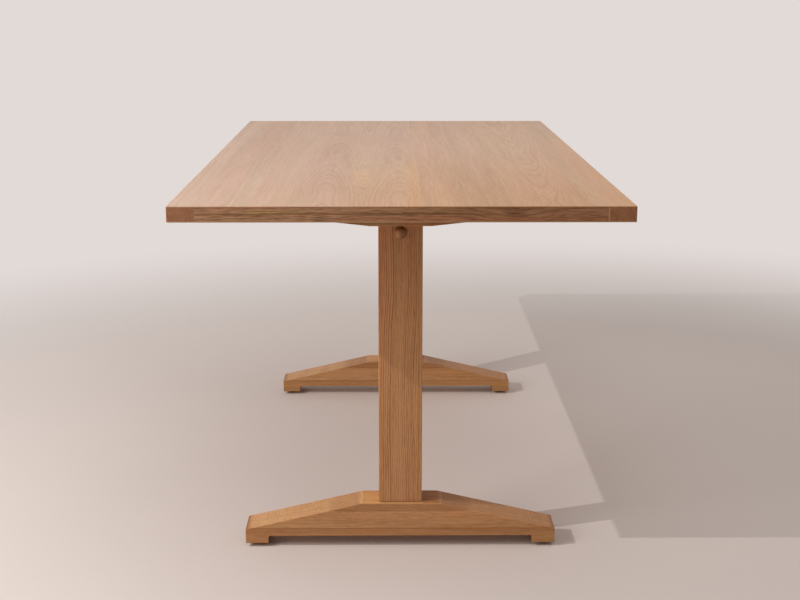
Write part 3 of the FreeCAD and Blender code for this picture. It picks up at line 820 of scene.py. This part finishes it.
def add_thread(mesh, low, high):
    """Adds a right-handed thread about the Z axis, with a flat lower end and a chamfered upper one."""
    turns = math.ceil((high - low) / THREAD_PITCH) + THREAD_SPARE_TURNS
    rows = []
    for step in range(turns * THREAD_SEGMENTS):
        angle = 2 * math.pi * step / THREAD_SEGMENTS
        row = []
        for rise, cut in THREAD_PROFILE:
            z = low + (step / THREAD_SEGMENTS - THREAD_LEAD_IN + rise) * THREAD_PITCH
            radius = STUD_RADIUS - cut * THREAD_DEPTH
            chamfered_radius = STUD_RADIUS - max(0.0, z - (high - STUD_TOP_CHAMFER))
            radius = min(radius, chamfered_radius)
            row.append(mesh.verts.new((radius * math.cos(angle), radius * math.sin(angle), z)))
        rows.append(row)
    for step, (row, next_row) in enumerate(zip(rows, rows[1:])):
        for i in range(len(row) - 1):
            mesh.faces.new((row[i], next_row[i], next_row[i + 1], row[i + 1]))
        above = step + THREAD_SEGMENTS
        if above + 1 < len(rows):
            mesh.faces.new((row[-1], next_row[-1], rows[above + 1][0], rows[above][0]))
    for height, outward in ((low, -1), (high, 1)):
        everything = mesh.verts[:] + mesh.edges[:] + mesh.faces[:]
        cut = bmesh.ops.bisect_plane(
            mesh, geom=everything, plane_co=(0, 0, height), plane_no=(0, 0, outward), clear_outer=True)
        rim = [part for part in cut["geom_cut"] if isinstance(part, bmesh.types.BMEdge)]
        bmesh.ops.edgeloop_fill(mesh, edges=rim)


def make_stud_mesh():
    """The shank with its thread, the hexagon for the spanner and the collar that turns in the base."""
    mesh = bmesh.new()
    add_thread(mesh, HEX_HIGH_Z - HIDDEN_OVERLAP, STUD_TOP_Z)
    add_rings(mesh, HEX_SIDES, [
        (HEX_CORNER_RADIUS - HEX_CHAMFER, HEX_LOW_Z),
        (HEX_CORNER_RADIUS, HEX_LOW_Z + HEX_CHAMFER),
        (HEX_CORNER_RADIUS, HEX_HIGH_Z - HEX_CHAMFER),
        (HEX_CORNER_RADIUS - HEX_CHAMFER, HEX_HIGH_Z)])
    add_rings(mesh, THREAD_SEGMENTS, [
        (COLLAR_RADIUS - COLLAR_CHAMFER, COLLAR_LOW_Z),
        (COLLAR_RADIUS, COLLAR_LOW_Z + COLLAR_CHAMFER),
        (COLLAR_RADIUS, HEX_LOW_Z + HIDDEN_OVERLAP)])
    bmesh.ops.recalc_face_normals(mesh, faces=mesh.faces[:])
    data = bpy.data.meshes.new("threaded_stud")
    mesh.to_mesh(data)
    mesh.free()
    data.shade_smooth()
    data.set_sharp_from_angle(angle=SHARP_ANGLE)
    data.materials.append(zinc)
    return data


stud_mesh = make_stud_mesh()
for glide in GLIDES:
    node_name = "glide_stud_" + glide
    stud_low, stud_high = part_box(node_name)
    stud = bpy.data.objects.new("threaded_stud_" + glide, stud_mesh.copy())
    stud.location = ((stud_low.x + stud_high.x) / 2, (stud_low.y + stud_high.y) / 2, 0)
    bpy.context.scene.collection.objects.link(stud)
    bpy.context.view_layer.update()
    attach(stud, node_name)
    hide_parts(node_name)


# ---------------------------------------------------------------------------------------------
# Floor, light and camera
# ---------------------------------------------------------------------------------------------

FLOOR_REACH = 12.0
FLOOR_MIDDLE_X = 0.3
FLOOR_FADE_START = 1.2
FLOOR_FADE_END = 2.9
FLOOR_NEAR_COLOUR = (0.72, 0.64, 0.597)
FLOOR_FAR_COLOUR = (0.82, 0.737, 0.69)
FLOOR_NEAR_Y = -0.8
FLOOR_FAR_Y = 0.9
FLOOR_CLOUDINESS = 0.05
FLOOR_SPECKLES = 0.035
BACKDROP_COLOUR = (0.76, 0.70, 0.68)
FILL_COLOUR = (1.0, 0.95, 0.92)
FILL_LEVEL = 0.27


@dataclass
class SoftBox:
    """A square lamp. Its level is the brightness that it gives a white surface that faces it."""
    direction: Vector
    distance: float
    size: float
    level: float
    colour: tuple


SOFT_BOXES = {
    "sun_like": SoftBox(Vector((-0.758, -0.422, 0.498)), 3.08, 0.015, 0.39, (1.0, 0.99, 0.98)),
    "window": SoftBox(Vector((-0.72, -0.68, 0.26)), 2.4, 1.2, 0.37, (1.0, 0.985, 0.97)),
    "back_wall": SoftBox(Vector((-0.15, 0.87, 0.46)), 4.2, 3.6, 0.10, (0.98, 0.98, 1.0)),
    "ceiling": SoftBox(Vector((0.35, -0.20, 1.0)), 3.4, 5.0, 0.465, (1.0, 0.97, 0.94)),
}

FRAME_WIDTH_PX = 800
FOCAL_LENGTH_PX = 1356.74
SENSOR_WIDTH_MM = 36.0
CAMERA_PLACE = Vector((-0.0281, -3.0515, 1.0819))
CAMERA_PITCH = 0.2282
CAMERA_YAW = 0.0108
CAMERA_ROLL = 0.0009


def make_floor():
    """A pale floor that fades into the backdrop all round."""
    mesh = bpy.data.meshes.new("floor")
    reach = FLOOR_REACH
    corners = [(-reach, -reach, 0), (reach, -reach, 0), (reach, reach, 0), (-reach, reach, 0)]
    mesh.from_pydata(corners, [], [(0, 1, 2, 3)])
    floor = bpy.data.objects.new("floor", mesh)
    bpy.context.scene.collection.objects.link(floor)

    material, tree = new_material("floor")
    x, y, z = tree.object_coordinates()
    cloud = tree.noise(x, y, z, scale=2.2, detail=4.0)
    speckle = tree.noise(x, y, z, scale=120.0, detail=2.0)
    grey = (1.0 + cloud * FLOOR_CLOUDINESS + speckle * FLOOR_SPECKLES).socket
    # Painted light: the floor is paler towards the back, as if more light fell there.
    colour = tree.mix(y.ramp(FLOOR_NEAR_Y, FLOOR_FAR_Y), FLOOR_NEAR_COLOUR, FLOOR_FAR_COLOUR)
    surface = tree.add("ShaderNodeBsdfDiffuse")
    tree.feed(surface.inputs["Color"], tree.mix(1.0, colour, grey, blend="MULTIPLY"))
    distance = tree.math("SQRT", (x - FLOOR_MIDDLE_X) * (x - FLOOR_MIDDLE_X) + y * y)
    clear = tree.add("ShaderNodeBsdfTransparent")
    blend = tree.add("ShaderNodeMixShader")
    tree.feed(blend.inputs[0], distance.ramp(FLOOR_FADE_START, FLOOR_FADE_END))
    tree.feed(blend.inputs[1], surface.outputs[0])
    tree.feed(blend.inputs[2], clear.outputs[0])
    output = tree.add("ShaderNodeOutputMaterial")
    tree.feed(output.inputs["Surface"], blend.outputs[0])
    mesh.materials.append(material)


def make_world():
    """Soft light from all round. The camera and reflections see the pale backdrop instead."""
    world = bpy.data.worlds.new("studio")
    bpy.context.scene.world = world
    world.use_nodes = True
    world.node_tree.nodes.clear()
    tree = Tree(world.node_tree)
    path = tree.add("ShaderNodeLightPath").outputs
    seen = tree.math("MAXIMUM", path["Is Camera Ray"], path["Is Glossy Ray"])
    seen = tree.math("MAXIMUM", seen, path["Is Transmission Ray"])
    fill = tuple(FILL_LEVEL * channel for channel in FILL_COLOUR)
    background = tree.add("ShaderNodeBackground")
    tree.feed(background.inputs["Color"], tree.mix(seen, fill, BACKDROP_COLOUR))
    output = tree.add("ShaderNodeOutputWorld")
    tree.feed(output.inputs["Surface"], background.outputs[0])


def make_soft_box(name, box):
    """A lamp that faces the middle of the top. A square lamp far off gives energy / (pi distance)^2."""
    light = bpy.data.lights.new(name, "AREA")
    light.shape = "SQUARE"
    light.size = box.size
    light.color = box.colour
    light.energy = box.level * (math.pi * box.distance) ** 2
    lamp = bpy.data.objects.new(name, light)
    direction = box.direction.normalized()
    lamp.location = Vector((0, 0, TOP_Z)) + direction * box.distance
    lamp.rotation_euler = direction.to_track_quat("Z", "Y").to_euler()
    bpy.context.scene.collection.objects.link(lamp)


def make_camera():
    """A camera at the front end of the table, a little above the top."""
    forward = Vector((
        math.sin(CAMERA_YAW) * math.cos(CAMERA_PITCH),
        math.cos(CAMERA_YAW) * math.cos(CAMERA_PITCH),
        -math.sin(CAMERA_PITCH)))
    level_right = Vector((math.cos(CAMERA_YAW), -math.sin(CAMERA_YAW), 0))
    level_up = level_right.cross(forward)
    right = math.cos(CAMERA_ROLL) * level_right + math.sin(CAMERA_ROLL) * level_up
    up = math.cos(CAMERA_ROLL) * level_up - math.sin(CAMERA_ROLL) * level_right
    data = bpy.data.cameras.new("camera")
    data.sensor_width = SENSOR_WIDTH_MM
    data.lens = SENSOR_WIDTH_MM * FOCAL_LENGTH_PX / FRAME_WIDTH_PX
    camera = bpy.data.objects.new("camera", data)
    turn = Matrix((right, up, -forward)).transposed().to_4x4()
    camera.matrix_world = Matrix.Translation(CAMERA_PLACE) @ turn
    bpy.context.scene.collection.objects.link(camera)
    bpy.context.scene.camera = camera


make_floor()
make_world()
for box_name, box in SOFT_BOXES.items():
    make_soft_box(box_name, box)
make_camera()
bpy.context.scene.view_settings.view_transform = "Standard"
